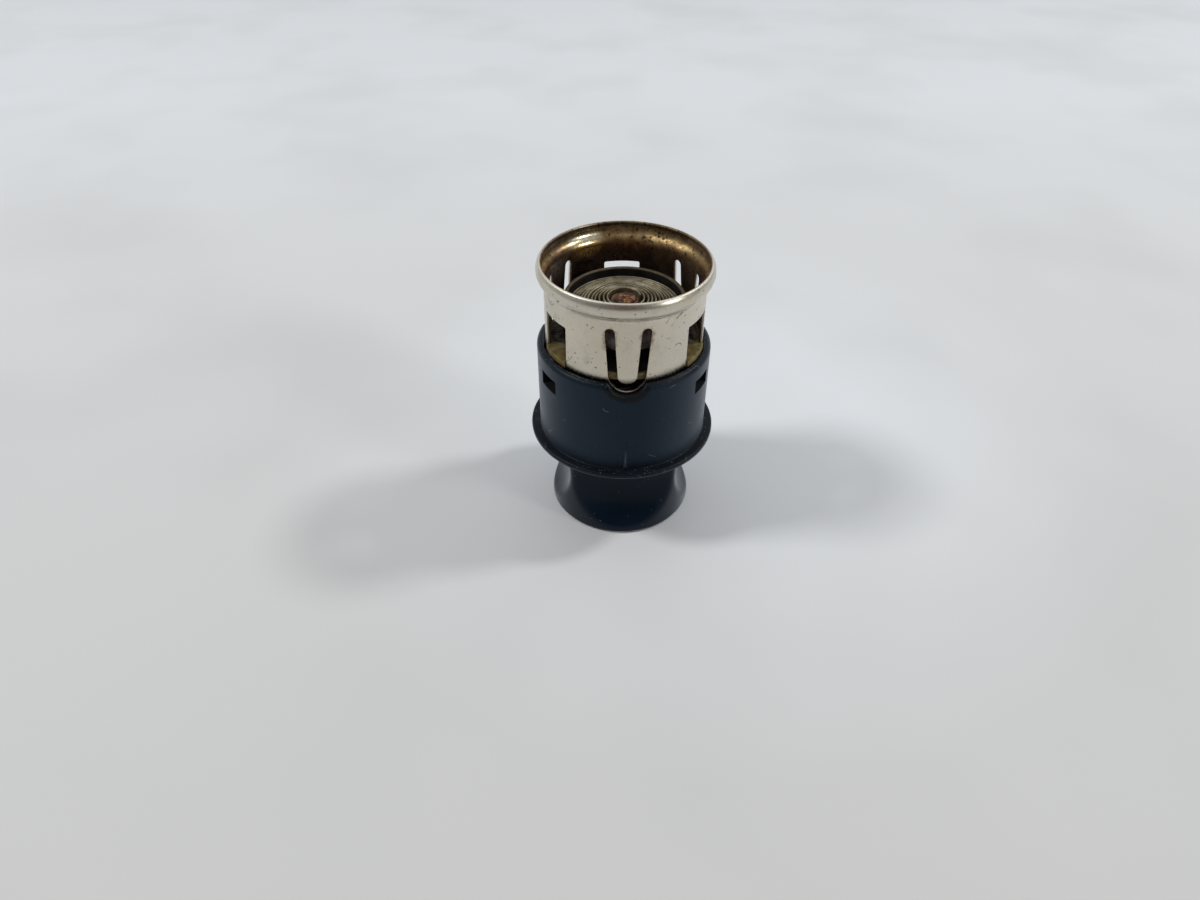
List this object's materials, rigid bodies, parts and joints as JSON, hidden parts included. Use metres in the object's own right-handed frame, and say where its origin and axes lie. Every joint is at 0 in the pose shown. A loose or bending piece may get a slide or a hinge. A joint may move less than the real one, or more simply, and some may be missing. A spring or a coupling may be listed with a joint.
{
  "type": "car cigarette lighter",
  "caption": "Push-in car cigarette lighter: scalloped knob on a sprung plunger, moulded sleeve and a pierced metal barrel round a spiral heating coil in a small cup.",
  "frame": {"origin": "centre of the knob's flat face, which the lighter stands on", "axes": "+Z along the axis from the knob to the heating element; -Y is the side with the contact tongue that faces the viewer in the picture"},
  "size_m": [0.0228, 0.0228, 0.0341],
  "materials": {
    "black_moulding": "satin black moulding with dust and fine scratches",
    "nickel_plate": "worn nickel plate, heat tinted gold to brown inside the mouth",
    "yellow_chromate": "dull yellow-green chromate, stained",
    "brass": "turned brass",
    "spring_steel": "drawn steel wire",
    "plain_steel": "turned steel",
    "knob_plastic": "glossy black moulding",
    "ceramic": "fired ceramic",
    "mica": "pressed mica sheet",
    "heated_steel": "steel darkened by heat",
    "resistance_ribbon": "oxidised resistance ribbon",
    "oxidised_rivet": "rivet scaled orange-brown by heat"
  },
  "bodies": {
    "housing": {"collar_sleeve": "black_moulding", "barrel_shell": "nickel_plate", "guide_plate": "yellow_chromate", "guide_bush": "brass"},
    "spring_carrier": {"return_spring": "spring_steel", "spring_seat": "plain_steel"},
    "plunger": {"knob": "knob_plastic", "knob_insert": "brass", "lock_washer": "spring_steel", "stud": "plain_steel", "stop_washer": "plain_steel", "ceramic_spacer": "ceramic", "lower_mica": "mica", "element_cup": "heated_steel", "upper_mica": "mica", "heating_coil": "resistance_ribbon", "coil_hub": "heated_steel", "coil_rivet": "oxidised_rivet"}
  },
  "joints": [
    {"name": "knob_press", "type": "slide", "parent": "housing", "child": "spring_carrier", "axis": [0, 0, 1], "range_m": [0, 0.006], "stiffness_N_per_m": 500, "springref_m": -0.008, "deforming": ["return_spring"]},
    {"name": "knob_spin", "type": "hinge", "parent": "spring_carrier", "child": "plunger", "pos_m": [0, 0, 0], "axis": [0, 0, 1], "continuous": true}
  ]
}
